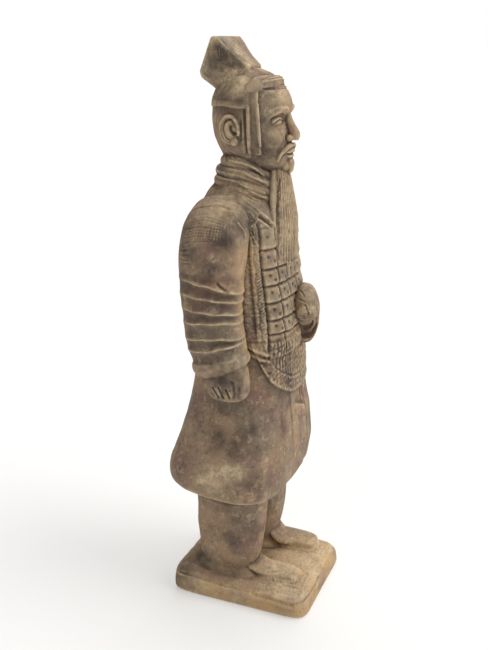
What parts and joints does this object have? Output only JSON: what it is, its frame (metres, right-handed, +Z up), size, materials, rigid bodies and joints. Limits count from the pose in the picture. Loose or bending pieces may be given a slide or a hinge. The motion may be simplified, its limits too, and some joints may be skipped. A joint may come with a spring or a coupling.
{
  "type": "terracotta warrior statue",
  "caption": "Standing armoured soldier in long robe, scarf and tall flat topknot, one fist at the belly and one hanging, moulded in one with its rectangular plinth.",
  "frame": {"origin": "centre of the plinth's underside", "axes": "+Z up along the standing figure, -Y the way the soldier faces, +X towards the soldier's left hand"},
  "size_m": [0.1723, 0.1406, 0.503],
  "materials": {
    "fired_clay": "matte grey-brown fired clay with ochre dust in the hollows and dark smoke stains"
  },
  "bodies": {
    "root": {"warrior_statue": "fired_clay"}
  },
  "joints": []
}
